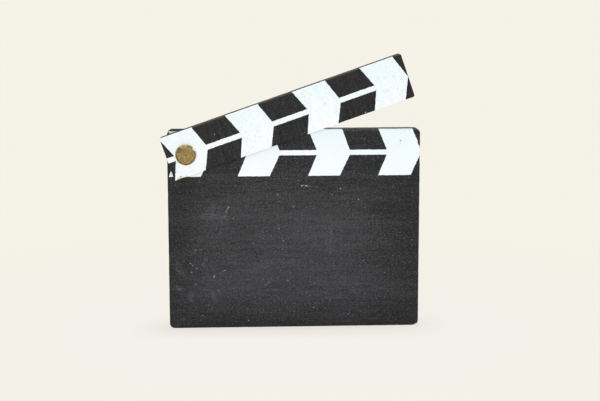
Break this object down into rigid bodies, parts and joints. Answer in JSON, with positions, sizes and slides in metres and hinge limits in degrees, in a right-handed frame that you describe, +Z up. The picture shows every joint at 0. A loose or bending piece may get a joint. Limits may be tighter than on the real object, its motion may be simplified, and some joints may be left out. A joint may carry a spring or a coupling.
{
  "type": "clapperboard",
  "caption": "Small tabletop clapperboard: a painted wooden slate with a chevron-printed clap stick that laps over its front and turns on a brass rivet.",
  "frame": {"origin": "middle of the board's bottom edge, halfway through the board's thickness", "axes": "+X to the right along the board seen from the front, +Y from the front to the back, +Z up"},
  "size_m": [0.0871, 0.0128, 0.0931],
  "materials": {
    "board_paint": "matt black chalkboard paint on wood, grain along the board",
    "stick_paint": "matt black paint on wood, grain across the stick",
    "white_print": "matt white screen-printed ink",
    "rivet_brass": "satin brass, lightly tarnished",
    "washer_brass": "satin brass"
  },
  "bodies": {
    "slate": {"slate_board": "board_paint", "board_chevrons": "white_print", "pivot_rivet": "rivet_brass", "rivet_washer": "washer_brass"},
    "stick": {"clap_stick": "stick_paint", "stick_chevrons": "white_print"}
  },
  "joints": [
    {"name": "stick_pivot", "type": "hinge", "parent": "slate", "child": "stick", "pos_m": [-0.0361, 0, 0.0602], "axis": [0, -1, 0], "continuous": true}
  ]
}
